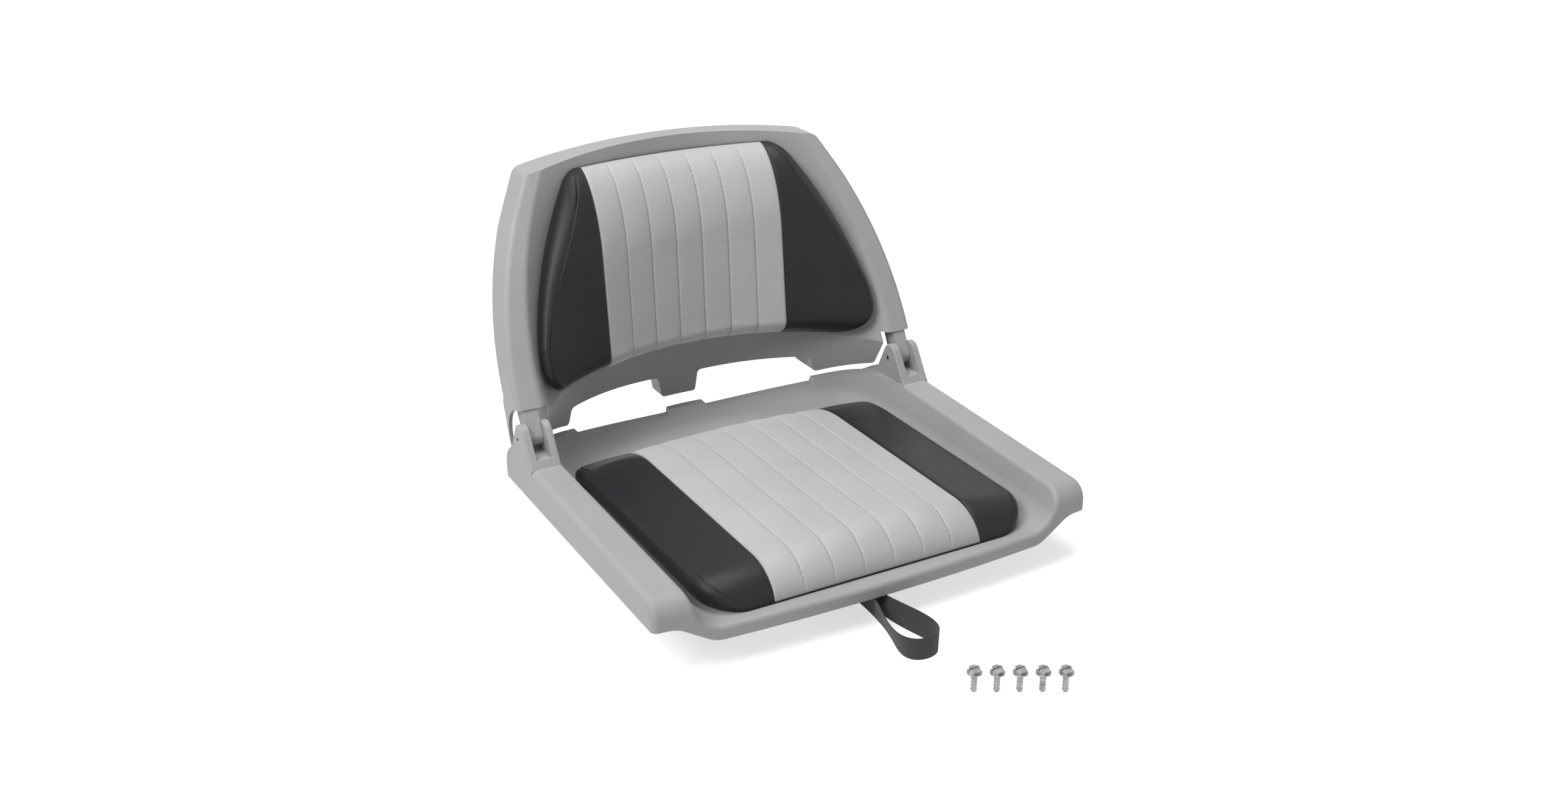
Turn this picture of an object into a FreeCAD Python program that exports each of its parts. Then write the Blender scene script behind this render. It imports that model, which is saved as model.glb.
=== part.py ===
import FreeCAD, Part
import math
import os

# Folding boat seat: two moulded shells on a pair of clevis hinges, sewn cushions and a hold-down strap.
# Millimetres, +Z up, the sitter faces -Y and their left is +X.
# The origin is the centre of the mounting screw pattern, on the flat underside of the base.

Vec = FreeCAD.Vector

# Seat shell
SEAT_WIDTH = 490.0
ARM_WIDTH = 34.0
ARM_TOP_Z = 90.0
ARM_FALL_DEG = 1.6
ARM_BOTTOM_Z = 52.5
ARM_FRONT_Y = -219.5
ARM_FRONT_R = 20.0
ARM_EDGE_R = 7.0
ARM_REAR_Y = 151.0
ARM_REAR_R = 22.0
WALL = 4.0
TRAY_FLOOR_Z = 44.0
TRAY_DRAFT_DEG = 19.0
TRAY_FLOOR_R = 30.0
TRAY_REAR_Y = 220.0
TRAY_REAR_R = 300.0
TRAY_CORNER_R = 96.0
LIP_BOW = 12.5
LIP_BOTTOM_Z = 30.0
LIP_HALF = 184.0
LIP_SWEEP = 38.0
LIP_SWEEP_R = 30.0
LIP_EDGE_R = 5.0

# Top edge of the rear wall: a saddle with raised ends and a raised middle
SADDLE_Z = 51.5
SADDLE_R = 714.0
RIM_THICKNESS = 9.0
RIM_HEIGHT = 12.0
MIDDLE_HALF = 22.5
MIDDLE_RISE = 5.2
END_START = 152.0
END_RISE = 4.6

# Hinge ears and pins
EAR_FRONT_Y = 70.0
EAR_FRONT_DEG = 57.2
EAR_REAR_Y = 128.0
EAR_REAR_DEG = 62.9
EAR_TOP_R = 12.0
EAR_WALL = 8.7
EAR_EDGE_R = 2.5
SLOT_FLOOR_RISE = 7.0
HINGE_Y = 104.4
HINGE_Z = 112.0
PIN_R = 3.5
PIN_RUNNING_GAP = 0.05
PIN_SEAT_GAP = 0.02
PIN_HOLLOW_R = 2.0
PIN_HOLLOW_DEPTH = 4.0
PIN_MOUTH_R = 4.5
PIN_MOUTH_DEPTH = 1.0
PIN_ROLL_R = 4.3
PIN_ROLL = 0.8

# Back shell
RAIL_TILT_DEG = 26.85
RAIL_AHEAD = 11.0
RAIL_STEP_Z = 141.5
RAIL_WIDTH_BOTTOM = 30.0
RAIL_WIDTH_TOP = 17.0
RAIL_OUTER_R = 6.0
RAIL_INNER_R = 10.0
BACK_HALF = 243.0
BACK_SIDE_R = 388.0
BACK_TOP_Z = 371.0
BACK_CORNER_X = 177.0
BACK_CORNER_R = 14.0
BACK_SIDE_SLOPE = 1.75
BACK_CROWN_R = 1126.0
PANEL_Y = 233.2
PANEL_LEAN_DEG = 2.5
PANEL_BREAK_Z = 130.0
FOOT_PANEL_Y = 229.8
FOOT_PANEL_R = 330.0
BACK_STATIONS = 10
BACK_RIB_DEPTH = 10.0
SKIRT_DEPTH = 37.0
FLANGE_DEPTH = 25.0
TAB_HALF = 21.5
TAB_Z = 64.0
TAB_R = 4.0
CUT_INNER_X = 26.0
CUT_INNER_Z = 89.0
CUT_OUTER_X = 153.0
CUT_OUTER_Z = 97.0
CUT_R = 5.5
SIDE_TAB_X = 157.0
SIDE_TAB_Z = 76.0
SIDE_TAB_END_Z = 97.0
EAR_SIDE_GAP = 3.0
KNUCKLE_R = 9.5
KNUCKLE_SIDE_GAP = 0.4
WEDGE_GAP = 1.0
WEDGE_TIP = 4.0
WEDGE_SWEEP_R = 30.5
STOP_GAP = 0.3

# Ribs and base
RIB = 3.0
ARM_RIBS = 5
TUB_RIB_DEPTH = 9.0
BASE_HALF = 95.0
BASE_CORNER_R = 14.0
SCREW_SPACING = 127.0
BOSS_R = 11.0
PILOT_R = 2.7
PILOT_DEPTH = 26.0

# Cushions
COVER = 2.5
BOARD = 5.0
PAD_GAP = 0.4
FOAM_GAP = 0.3
FOAM_LIFT = 0.9
BOARD_INSET = 10.0
BOARD_PROUD = 0.1
BOARD_STATIONS = 6
BOARD_CORNER_R = 40.0
ROLL_STEPS = (0.1, 0.2, 0.4, 0.6, 0.8, 1.0)
MIDDLE_STATIONS = 3
SEAT_TUCK = 13.0
BACK_TUCK = 4.0
SIDE_SWELL = 2.0
SEAT_BAND_SWELL = 10.3
BACK_BAND_SWELL = 3.0
CHANNELS = 7
CHANNEL_SAG = 2.2
SEAT_PAD_FRONT_Y = -214.0
SEAT_PAD_REAR_Y = 124.0
SEAT_PAD_HALF = 186.0
SEAT_PAD_HEIGHT = 38.0
SEAT_PANEL_HALF = 117.0
SEAT_SEAM_INSET = 8.0
SEAT_FRONT_ROLL = 45.0
SEAT_REAR_ROLL = 70.0
SEAT_FRONT_CORNER = 44.0
SEAT_REAR_CORNER = 30.0
SEAT_CROWN = 6.0
SEAT_SIDE_FALL = 5.0
BACK_PAD_BOTTOM_Z = 133.0
BACK_PAD_TOP_Z = 354.0
BACK_PAD_THICK = 49.0
BACK_PANEL_HALF = 110.0
BACK_BOTTOM_ROLL = 25.0
BACK_TOP_ROLL = 90.0
BACK_BOTTOM_CORNER = 45.0
BACK_TOP_CORNER = 12.0
BACK_EDGE_INSET = 9.0
BACK_EDGE_TAPER = 0.15
BACK_PAD_WIDEST_Z = 193.0
BACK_CROWN = 5.0
BACK_SEAM_INSET = 9.0
BACK_SEAM_TAPER = 0.09
BACK_SEAM_THICK = 26.0
BACK_SEAM_RISE = 0.13

# Hold-down strap and its lug
STRAP_WIDTH = 23.0
STRAP_THICK = 1.6
STRAP_X = -10.0
STRAP_ROOT_Y = -190.0
STRAP_LENGTH = 133.0
STRAP_Z = 17.0
STRAP_BULGE = 75.0
STRAP_LEAN_DEG = 45.0
STRAP_STATIONS = 25
STRAP_GAP = 0.25
LUG_LENGTH = 22.0
LUG_MARGIN = 1.0
RIVET_R = 2.4
RIVET_GAP = 0.1
WASHER_R = 7.0
WASHER_THICK = 1.2
RIVET_HEAD_R = 4.5
RIVET_HEAD = 2.0

# Fasteners
PAD_SCREW_R = 2.0
PAD_SCREW_GAP = 0.3
PAD_SCREW_HEAD_R = 4.5
PAD_SCREW_HEAD = 2.6
PAD_SCREW_BITE = 4.0
PAD_BOSS_R = 7.0
PAD_BOSS_DEPTH = 4.0
SEAT_SCREW_X = 125.0
SEAT_SCREW_FRONT_Y = -140.0
SEAT_SCREW_REAR_Y = 50.0
BACK_SCREW_X = 70.0
BACK_SCREW_LOW_Z = 175.0
BACK_SCREW_HIGH_Z = 290.0
LOOSE_COUNT = 5
LOOSE_PITCH = 20.6
LOOSE_X = 0.4
LOOSE_Y = -369.0
LOOSE_ROW_DEG = 29.4
LOOSE_SHANK_R = 3.1
LOOSE_LENGTH = 19.0
LOOSE_TIP = 1.0
LOOSE_TIP_R = 2.0
LOOSE_WASHER_R = 7.1
LOOSE_WASHER = 1.2
LOOSE_HEX = 9.5
LOOSE_HEAD = 4.4
LOOSE_THREAD = 0.6
LOOSE_LEAD = 3.6
LOOSE_SLOT = 1.2
LOOSE_SLOT_DEPTH = 1.6

# Sizes that follow from the ones above
HALF = SEAT_WIDTH / 2
ARM_INNER = HALF - ARM_WIDTH
DRAFT = math.tan(math.radians(TRAY_DRAFT_DEG))
FALL = math.tan(math.radians(ARM_FALL_DEG))
TILT = math.radians(RAIL_TILT_DEG)
TUB_BOTTOM_Z = TRAY_FLOOR_Z - WALL
LIP_Y = ARM_FRONT_Y - LIP_BOW
SLOT_FLOOR_Z = ARM_TOP_Z + SLOT_FLOOR_RISE
SLOT_INNER = ARM_INNER + EAR_WALL
SLOT_OUTER = HALF - EAR_WALL
PANEL_SIDE = ARM_INNER - EAR_SIDE_GAP
FAR = 400.0
CORNERS = [(-1, -1), (1, -1), (1, 1), (-1, 1)]
SIDES = [("left", 1), ("right", -1)]


def arc(start, middle, end):
    return Part.Arc(start, middle, end).toShape()


def line(start, end):
    return Part.LineSegment(start, end).toShape()


def box(x0, x1, y0, y1, z0, z1):
    return Part.makeBox(x1 - x0, y1 - y0, z1 - z0, Vec(x0, y0, z0))


def cylinder(radius, start, direction, length):
    return Part.makeCylinder(radius, length, start, direction)


def fused(shapes):
    return shapes[0].multiFuse(shapes[1:]).removeSplitter()


def mirrored(shape):
    return shape.mirror(Vec(0, 0, 0), Vec(1, 0, 0))


def in_side_view(x):
    return lambda u, v: Vec(x, u, v)


def in_front_view(y):
    return lambda u, v: Vec(u, y, v)


def in_plan(z):
    return lambda u, v: Vec(u, v, z)


def inset_corners(corners, inset):
    """Move every side of a counter-clockwise outline inwards; corner radii follow."""
    moved = []
    count = len(corners)
    for i in range(count):
        before, here, after = corners[i - 1], corners[i], corners[(i + 1) % count]
        d1 = Vec(here[0] - before[0], here[1] - before[1], 0).normalize()
        d2 = Vec(after[0] - here[0], after[1] - here[1], 0).normalize()
        turn = d1.x * d2.y - d1.y * d2.x
        shift = inset * math.tan(math.atan2(turn, d1.dot(d2)) / 2)
        x = here[0] - d1.y * inset - d1.x * shift
        y = here[1] + d1.x * inset - d1.y * shift
        radius = max(here[2] - math.copysign(inset, turn), 0.0) if here[2] else 0.0
        moved.append((x, y, radius))
    return moved


def rounded(corners, place):
    """Closed wire through corners (u, v, radius), with tangent arcs at the rounded ones."""
    edges = []
    ends = []
    count = len(corners)
    for i in range(count):
        here = Vec(corners[i][0], corners[i][1], 0)
        radius = corners[i][2]
        to_before = (Vec(corners[i - 1][0], corners[i - 1][1], 0) - here).normalize()
        after = corners[(i + 1) % count]
        to_after = (Vec(after[0], after[1], 0) - here).normalize()
        if radius <= 0:
            ends.append((here, None, here))
            continue
        half = to_before.getAngle(to_after) / 2
        inward = (to_before + to_after).normalize()
        reach = radius / math.tan(half)
        middle = here + inward * (radius / math.sin(half) - radius)
        ends.append((here + to_before * reach, middle, here + to_after * reach))
    for i in range(count):
        start, middle, end = ends[i]
        previous = ends[i - 1][2]
        if previous.distanceToPoint(start) > 1e-6:
            edges.append(line(place(previous.x, previous.y), place(start.x, start.y)))
        if middle is not None:
            edges.append(arc(place(start.x, start.y), place(middle.x, middle.y), place(end.x, end.y)))
    return Part.Wire(edges)


def prism(corners, place, direction):
    return Part.Face(rounded(corners, place)).extrude(direction)


def arm_top(y):
    return ARM_TOP_Z + (y - EAR_FRONT_Y) * FALL


def tray_outline(z, out):
    """Plan outline of the tray at height z, moved outwards by a distance."""
    grow = out - (ARM_TOP_Z - z) * DRAFT
    side = ARM_INNER + grow
    rear_centre = TRAY_REAR_Y - TRAY_REAR_R
    corner_x = ARM_INNER - TRAY_CORNER_R
    corner_y = rear_centre + math.sqrt((TRAY_REAR_R - TRAY_CORNER_R) ** 2 - corner_x ** 2)
    corner_r = TRAY_CORNER_R + grow
    blend = math.atan2(corner_y - rear_centre, corner_x)
    tangent = Vec(corner_x + corner_r * math.cos(blend), corner_y + corner_r * math.sin(blend), z)
    middle = Vec(corner_x + corner_r * math.cos(blend / 2), corner_y + corner_r * math.sin(blend / 2), z)
    rear = Vec(0, TRAY_REAR_Y + grow, z)
    front = -FAR
    flip = lambda p: Vec(-p.x, p.y, p.z)
    start = Vec(side, corner_y, z)
    edges = [
        line(Vec(side, front, z), start),
        arc(start, middle, tangent),
        arc(tangent, rear, flip(tangent)),
        arc(flip(tangent), flip(middle), flip(start)),
        line(flip(start), Vec(-side, front, z)),
        line(Vec(-side, front, z), Vec(side, front, z)),
    ]
    return Part.Wire(edges)


def tray_solid(out, floor_radius):
    """The hollow of the tray, grown outwards, with its floor edge rounded."""
    bottom = TRAY_FLOOR_Z - out
    top = HINGE_Z + EAR_TOP_R * 3
    solid = Part.makeLoft([tray_outline(bottom, out), tray_outline(top, out)], True, True)
    edges = []
    for edge in solid.Edges:
        flat = edge.BoundBox.ZMax - bottom < 0.01
        if flat and edge.BoundBox.YMax > -FAR + 1:
            edges.append(edge)
    return solid.makeFillet(floor_radius, edges)


def bowed_front(back_off):
    """Everything behind the bowed front line of the seat, moved back by a distance."""
    side = Vec(HALF, ARM_FRONT_Y + back_off, 0)
    middle = Vec(0, LIP_Y + back_off, 0)
    rear = Vec(HALF, FAR, 0)
    flip = lambda p: Vec(-p.x, p.y, p.z)
    edges = [arc(flip(side), middle, side), line(side, rear)]
    edges.append(line(rear, flip(rear)))
    edges.append(line(flip(rear), flip(side)))
    return Part.Face(Part.Wire(edges)).extrude(Vec(0, 0, FAR))


def saddle_z(x, rise):
    return SADDLE_Z + rise + SADDLE_R - math.sqrt(SADDLE_R ** 2 - x ** 2)


def above_saddle():
    """The space over the rear wall, down to its saddle-shaped top edge."""
    front = EAR_FRONT_Y + RIM_THICKNESS
    at = lambda x, rise: Vec(x, front, saddle_z(x, rise))
    flip = lambda p: Vec(-p.x, p.y, p.z)
    step = (END_RISE + MIDDLE_RISE) / 4
    low_start = at(MIDDLE_HALF + step, 0)
    low_end = at(END_START - step, 0)
    low_middle = at((low_start.x + low_end.x) / 2, 0)
    high_start = at(END_START, END_RISE)
    high_end = at(ARM_INNER, END_RISE)
    high_middle = at((high_start.x + high_end.x) / 2, END_RISE)
    peak = at(MIDDLE_HALF, MIDDLE_RISE)
    top = Vec(ARM_INNER, front, FAR)
    edges = [line(flip(peak), peak)]
    edges.append(line(peak, low_start))
    edges.append(arc(low_start, low_middle, low_end))
    edges.append(line(low_end, high_start))
    edges.append(arc(high_start, high_middle, high_end))
    edges.append(line(high_end, top))
    edges.append(line(top, flip(top)))
    edges.append(line(flip(top), flip(high_end)))
    edges.append(arc(flip(high_end), flip(high_middle), flip(high_start)))
    edges.append(line(flip(high_start), flip(low_end)))
    edges.append(arc(flip(low_end), flip(low_middle), flip(low_start)))
    edges.append(line(flip(low_start), flip(peak)))
    return Part.Face(Part.Wire(edges)).extrude(Vec(0, FAR, 0))


def side_corners(front, rear, rear_radius):
    """Side view of the arms between two stations."""
    return [
        (front, 0, 0),
        (rear, 0, 0),
        (rear, arm_top(rear), rear_radius),
        (front, arm_top(front), 0),
    ]


def rounded_edges(solid, radius, wanted):
    edges = [edge for edge in solid.Edges if wanted(edge.BoundBox)]
    return solid.makeFillet(radius, edges)


def cross_ribs():
    """Ribs inside the hollow arms, evenly spaced from the front to the rear face."""
    bars = []
    spacing = (ARM_REAR_Y - ARM_FRONT_Y) / (ARM_RIBS + 1)
    for i in range(ARM_RIBS):
        y = ARM_FRONT_Y + spacing * (i + 1)
        bars.append(box(ARM_INNER - TRAY_CORNER_R, HALF, y - RIB / 2, y + RIB / 2, ARM_BOTTOM_Z + WALL, FAR))
    right = fused(bars)
    return fused([right, mirrored(right)])


def front_block(inner, outer):
    """Arms, lip and front of the pan in one piece: a rounded block, scooped out above and hollow below."""
    corners = side_corners(2 * LIP_Y, EAR_FRONT_Y, 0)
    across = Vec(SEAT_WIDTH, 0, 0)
    solid = prism(corners, in_side_view(-HALF), across).common(bowed_front(0))
    under = [
        (-HALF, ARM_BOTTOM_Z, 0),
        (-LIP_HALF - LIP_SWEEP, ARM_BOTTOM_Z, LIP_SWEEP_R),
        (-LIP_HALF, LIP_BOTTOM_Z, LIP_SWEEP_R),
        (LIP_HALF, LIP_BOTTOM_Z, LIP_SWEEP_R),
        (LIP_HALF + LIP_SWEEP, ARM_BOTTOM_Z, LIP_SWEEP_R),
        (HALF, ARM_BOTTOM_Z, 0),
        (HALF, FAR, 0),
        (-HALF, FAR, 0),
    ]
    solid = rounded_edges(solid, ARM_FRONT_R, lambda b: b.XLength > ARM_INNER and b.ZMin > ARM_BOTTOM_Z and b.YMax < 0)
    solid = solid.common(prism(under, in_front_view(-FAR), Vec(0, 2 * FAR, 0)))
    on_side = lambda b: b.XLength < 0.01 and abs(b.XMin) > HALF - 0.01
    rim = lambda b: on_side(b) and b.ZMax > ARM_BOTTOM_Z + 0.01 and b.YMin < EAR_FRONT_Y - 0.01
    solid = rounded_edges(solid, ARM_EDGE_R, rim).cut(inner)
    solid = rounded_edges(solid, LIP_EDGE_R, on_tray_edge)
    inside = inset_corners(corners, WALL)
    inside = [(u + (2 * WALL if u > 0 else 0), v - (2 * WALL if v < WALL * 2 else 0), 0) for u, v, r in inside]
    hollow = prism(inside, in_side_view(-HALF + WALL), Vec(SEAT_WIDTH - 2 * WALL, 0, 0)).common(bowed_front(WALL))
    hollow = rounded_edges(hollow, ARM_FRONT_R - WALL, lambda b: b.XLength > ARM_INNER and b.ZMin > ARM_BOTTOM_Z and b.YMax < 0)
    return solid.cut(hollow.cut(outer).cut(cross_ribs()))


def on_tray_edge(b):
    """Whether an edge borders the tray on the front or the top of the block."""
    within = max(abs(b.XMin), abs(b.XMax)) < ARM_INNER + 0.5
    ahead = b.YMax < 0 or b.ZMax > ARM_TOP_Z - 0.01
    return within and b.ZMin > TRAY_FLOOR_Z - 0.01 and b.YMin < ARM_FRONT_Y + 2 * ARM_FRONT_R and ahead


def rear_arm(outer):
    """The part of an arm behind the hinge, ending in a rounded shoulder."""
    reach = ARM_INNER - TRAY_CORNER_R / 2
    corners = side_corners(EAR_FRONT_Y, ARM_REAR_Y, ARM_REAR_R)
    corners[0] = (EAR_FRONT_Y, ARM_BOTTOM_Z, 0)
    corners[1] = (ARM_REAR_Y, ARM_BOTTOM_Z, 0)
    solid = prism(corners, in_side_view(reach), Vec(HALF - reach, 0, 0))
    on_side = lambda b: b.XMin > HALF - 0.01 and b.XLength < 0.01
    rim = lambda b: on_side(b) and b.ZMax > ARM_BOTTOM_Z + 0.01 and b.YMax > EAR_FRONT_Y + 0.01
    solid = rounded_edges(solid, ARM_EDGE_R, rim)
    inside = inset_corners(corners, WALL)
    inside = [(EAR_FRONT_Y - WALL if u < EAR_REAR_Y else u, v - (2 * WALL if v < ARM_TOP_Z - 4 * WALL else 0), r) for u, v, r in inside]
    hollow = prism(inside, in_side_view(reach - WALL), Vec(HALF - reach, 0, 0))
    return solid.cut(hollow.cut(cross_ribs())).cut(outer)


def ear_corners():
    front_rise = math.tan(math.radians(EAR_FRONT_DEG))
    rear_rise = math.tan(math.radians(EAR_REAR_DEG))
    front_z = arm_top(EAR_FRONT_Y)
    rear_z = arm_top(EAR_REAR_Y)
    span = front_rise * EAR_FRONT_Y + rear_rise * EAR_REAR_Y
    apex_y = (rear_z - front_z + span) / (front_rise + rear_rise)
    apex_z = front_z + front_rise * (apex_y - EAR_FRONT_Y)
    root_z = ARM_TOP_Z - 2 * WALL
    return [
        (EAR_FRONT_Y, root_z, 0),
        (EAR_REAR_Y, root_z, 0),
        (EAR_REAR_Y, rear_z, 0),
        (apex_y, apex_z, EAR_TOP_R),
        (EAR_FRONT_Y, front_z, 0),
    ]


def ears():
    """A clevis: two flat ears with a slot between them, bored for the hinge pin."""
    block = prism(ear_corners(), in_side_view(ARM_INNER), Vec(ARM_WIDTH, 0, 0))
    rim = []
    for edge in block.Edges:
        size = edge.BoundBox
        flat = size.XMax - size.XMin < 0.01
        if flat and size.ZMax > SLOT_FLOOR_Z and size.YMax - size.YMin > 0.1:
            rim.append(edge)
    block = block.makeFillet(EAR_EDGE_R, rim)
    slot = box(SLOT_INNER, SLOT_OUTER, -FAR, FAR, SLOT_FLOOR_Z, FAR)
    along = Vec(1, 0, 0)
    bore = cylinder(PIN_R + PIN_SEAT_GAP, Vec(0, HINGE_Y, HINGE_Z), along, FAR)
    inner_mouth = cylinder(PIN_MOUTH_R, Vec(0, HINGE_Y, HINGE_Z), along, ARM_INNER + PIN_MOUTH_DEPTH)
    outer_mouth = cylinder(PIN_MOUTH_R, Vec(HALF - PIN_MOUTH_DEPTH, HINGE_Y, HINGE_Z), along, FAR)
    return block.cut(fused([slot, bore, inner_mouth, outer_mouth]))


def base(outer):
    """The flat foot under the pan: a ribbed frame with four screw bosses."""
    square = [(BASE_HALF * a, BASE_HALF * b, BASE_CORNER_R) for a, b in CORNERS]
    frame = prism(square, in_plan(0), Vec(0, 0, TRAY_FLOOR_Z))
    hollow = prism(inset_corners(square, WALL), in_plan(0), Vec(0, 0, TRAY_FLOOR_Z))
    pieces = [frame.cut(hollow)]
    at = SCREW_SPACING / 2
    for side in (-1, 1):
        pieces.append(box(side * at - RIB / 2, side * at + RIB / 2, -BASE_HALF, BASE_HALF, 0, TRAY_FLOOR_Z))
        pieces.append(box(-BASE_HALF, BASE_HALF, side * at - RIB / 2, side * at + RIB / 2, 0, TRAY_FLOOR_Z))
    holes = []
    for a, b in CORNERS:
        start = Vec(a * at, b * at, 0)
        pieces.append(cylinder(BOSS_R, start, Vec(0, 0, 1), TRAY_FLOOR_Z))
        holes.append(cylinder(PILOT_R, start, Vec(0, 0, 1), PILOT_DEPTH))
    return fused(pieces).cut(fused(holes)).cut(outer)


def pan_ribs(outer):
    """Shallow ribs under the pan, in line with the base."""
    dropped = outer.copy()
    dropped.translate(Vec(0, 0, -TUB_RIB_DEPTH))
    bars = []
    for at in (-SCREW_SPACING / 2, SCREW_SPACING / 2):
        bars.append(box(at - RIB / 2, at + RIB / 2, ARM_FRONT_Y, FAR, LIP_BOTTOM_Z, SADDLE_Z - RIM_HEIGHT))
        bars.append(box(-ARM_INNER, ARM_INNER, at - RIB / 2, at + RIB / 2, LIP_BOTTOM_Z, ARM_BOTTOM_Z))
    return fused(bars).common(dropped).cut(outer)


def seat_screw_places():
    places = []
    for y in (SEAT_SCREW_FRONT_Y, SEAT_SCREW_REAR_Y):
        for x in (-SEAT_SCREW_X, SEAT_SCREW_X):
            places.append(Vec(x, y, TUB_BOTTOM_Z))
    return places


def strap_lug():
    low = STRAP_Z - STRAP_WIDTH / 2 - LUG_MARGIN
    front = STRAP_ROOT_Y - LUG_LENGTH / 2
    lug = box(STRAP_X - WALL / 2, STRAP_X + WALL / 2, front, front + LUG_LENGTH, low, TRAY_FLOOR_Z - WALL / 2)
    bore = cylinder(RIVET_R + RIVET_GAP, Vec(STRAP_X - WALL, STRAP_ROOT_Y, STRAP_Z), Vec(1, 0, 0), 2 * WALL)
    return lug.cut(bore)


def seat_shell():
    inner = tray_solid(0, TRAY_FLOOR_R)
    outer = tray_solid(WALL, TRAY_FLOOR_R + WALL)
    over = above_saddle()
    dropped = over.copy()
    dropped.translate(Vec(0, 0, -RIM_HEIGHT))
    band = tray_solid(RIM_THICKNESS, TRAY_FLOOR_R + RIM_THICKNESS).cut(inner).common(dropped)
    behind = prism(side_corners(EAR_FRONT_Y, FAR, 0), in_side_view(-FAR), Vec(2 * FAR, 0, 0))
    side = rear_arm(outer)
    rear = fused([outer.cut(inner).common(behind), band.common(behind), side, mirrored(side)]).cut(over)
    ear = ears()
    pieces = [front_block(inner, outer), rear, ear, mirrored(ear), base(outer), pan_ribs(outer), strap_lug()]
    body = fused(pieces)
    holes = []
    for place in seat_screw_places():
        start = place - Vec(0, 0, WALL)
        holes.append(cylinder(PAD_SCREW_R + PAD_SCREW_GAP, start, Vec(0, 0, 1), 3 * WALL))
    return body.cut(fused(holes))


def rail_face(z):
    """Depth of the flat rail faces, a set distance ahead of the hinge axis."""
    return HINGE_Y - RAIL_AHEAD / math.cos(TILT) + (z - HINGE_Z) * math.tan(TILT)


def rail_width(z):
    share = (z - RAIL_STEP_Z) / (BACK_TOP_Z - RAIL_STEP_Z)
    return RAIL_WIDTH_BOTTOM + (RAIL_WIDTH_TOP - RAIL_WIDTH_BOTTOM) * share


def back_side(z):
    return BACK_HALF - BACK_SIDE_R + math.sqrt(BACK_SIDE_R ** 2 - (z - RAIL_STEP_Z) ** 2)


def back_form(z):
    """Half width, rail face, middle of the panel and panel radius at height z."""
    side = back_side(z)
    face = rail_face(z)
    middle = PANEL_Y + (z - RAIL_STEP_Z) * math.tan(math.radians(PANEL_LEAN_DEG))
    crease = side - rail_width(z)
    depth = middle - face
    return side, face, middle, (crease ** 2 + depth ** 2) / (2 * depth)


def foot_form():
    """The same sizes at the foot of the back, which sweeps round behind the hinge ears."""
    centre = FOOT_PANEL_Y - FOOT_PANEL_R
    face = centre + math.sqrt(FOOT_PANEL_R ** 2 - PANEL_SIDE ** 2)
    return BACK_HALF, face, FOOT_PANEL_Y, FOOT_PANEL_R


def back_section(z, form, inset, deeper):
    """Level section of the back: skirt, rail face, crease, curved panel, and the same mirrored."""
    side, face, middle, radius = form
    centre = middle - radius
    outer_r = RAIL_OUTER_R - inset
    inner_r = RAIL_INNER_R - inset
    side = side - inset
    face = face + inset
    radius = radius + inset
    rear = face - inset + SKIRT_DEPTH + deeper
    crease_y = face + inner_r
    crease_x = math.sqrt((radius + inner_r) ** 2 - (crease_y - centre) ** 2)
    share = radius / (radius + inner_r)
    at = lambda x, y: Vec(x, y, z)
    flip = lambda p: Vec(-p.x, p.y, p.z)
    edge_c = outer_r * (1 - math.sqrt(0.5))
    a = at(side, rear)
    b = at(side, face + outer_r)
    c = at(side - edge_c, face + edge_c)
    d = at(side - outer_r, face)
    e = at(crease_x, face)
    g = at(crease_x * share, centre + (crease_y - centre) * share)
    towards = (Vec(0, -1, 0) + (g - at(crease_x, crease_y)) * (1 / inner_r)).normalize()
    f = at(crease_x, crease_y) + towards * inner_r
    m = at(0, centre + radius)
    edges = [line(a, b), arc(b, c, d), line(d, e), arc(e, f, g), arc(g, m, flip(g))]
    edges += [arc(flip(g), flip(f), flip(e)), line(flip(e), flip(d)), arc(flip(d), flip(c), flip(b))]
    edges += [line(flip(b), flip(a)), arc(flip(a), at(0, middle + FLANGE_DEPTH + deeper), a)]
    return Part.Wire(edges)


def back_solid(inset, deeper):
    """The back without its hollow: a smooth upper part over a foot that sweeps rearwards."""
    top = BACK_TOP_Z + 2 * WALL
    step = (top - PANEL_BREAK_Z) / BACK_STATIONS
    upper = []
    for i in range(BACK_STATIONS + 1):
        z = PANEL_BREAK_Z + step * i
        upper.append(back_section(z, back_form(z), inset, deeper))
    low = TAB_Z - 2 * WALL
    lower = [back_section(low, foot_form(), inset, deeper), upper[0]]
    return fused([Part.makeLoft(lower, True, True), Part.makeLoft(upper, True, False)])


def back_outline():
    """Front view of the back, with the tabs and cut-outs along its foot."""
    crown_slope = (BACK_CORNER_X - BACK_CORNER_R) / BACK_CROWN_R
    apex = BACK_TOP_Z + BACK_CROWN_R * (math.hypot(1, crown_slope) - 1)
    corner_z = apex - crown_slope * BACK_CORNER_X
    wide = BACK_HALF + 2 * WALL
    side_low = corner_z - BACK_SIDE_SLOPE * (wide - BACK_CORNER_X)
    right = [
        (TAB_HALF, TAB_Z, TAB_R),
        (CUT_INNER_X, CUT_INNER_Z, CUT_R),
        (CUT_OUTER_X, CUT_OUTER_Z, CUT_R),
        (SIDE_TAB_X, SIDE_TAB_Z, TAB_R),
        (PANEL_SIDE, SIDE_TAB_END_Z, TAB_R),
        (PANEL_SIDE, RAIL_STEP_Z, 0),
        (wide, RAIL_STEP_Z, 0),
        (wide, side_low, 0),
        (BACK_CORNER_X, corner_z, BACK_CORNER_R),
    ]
    left = [(-x, z, r) for x, z, r in reversed(right)]
    return right + [(0, apex, BACK_CROWN_R)] + left


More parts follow.
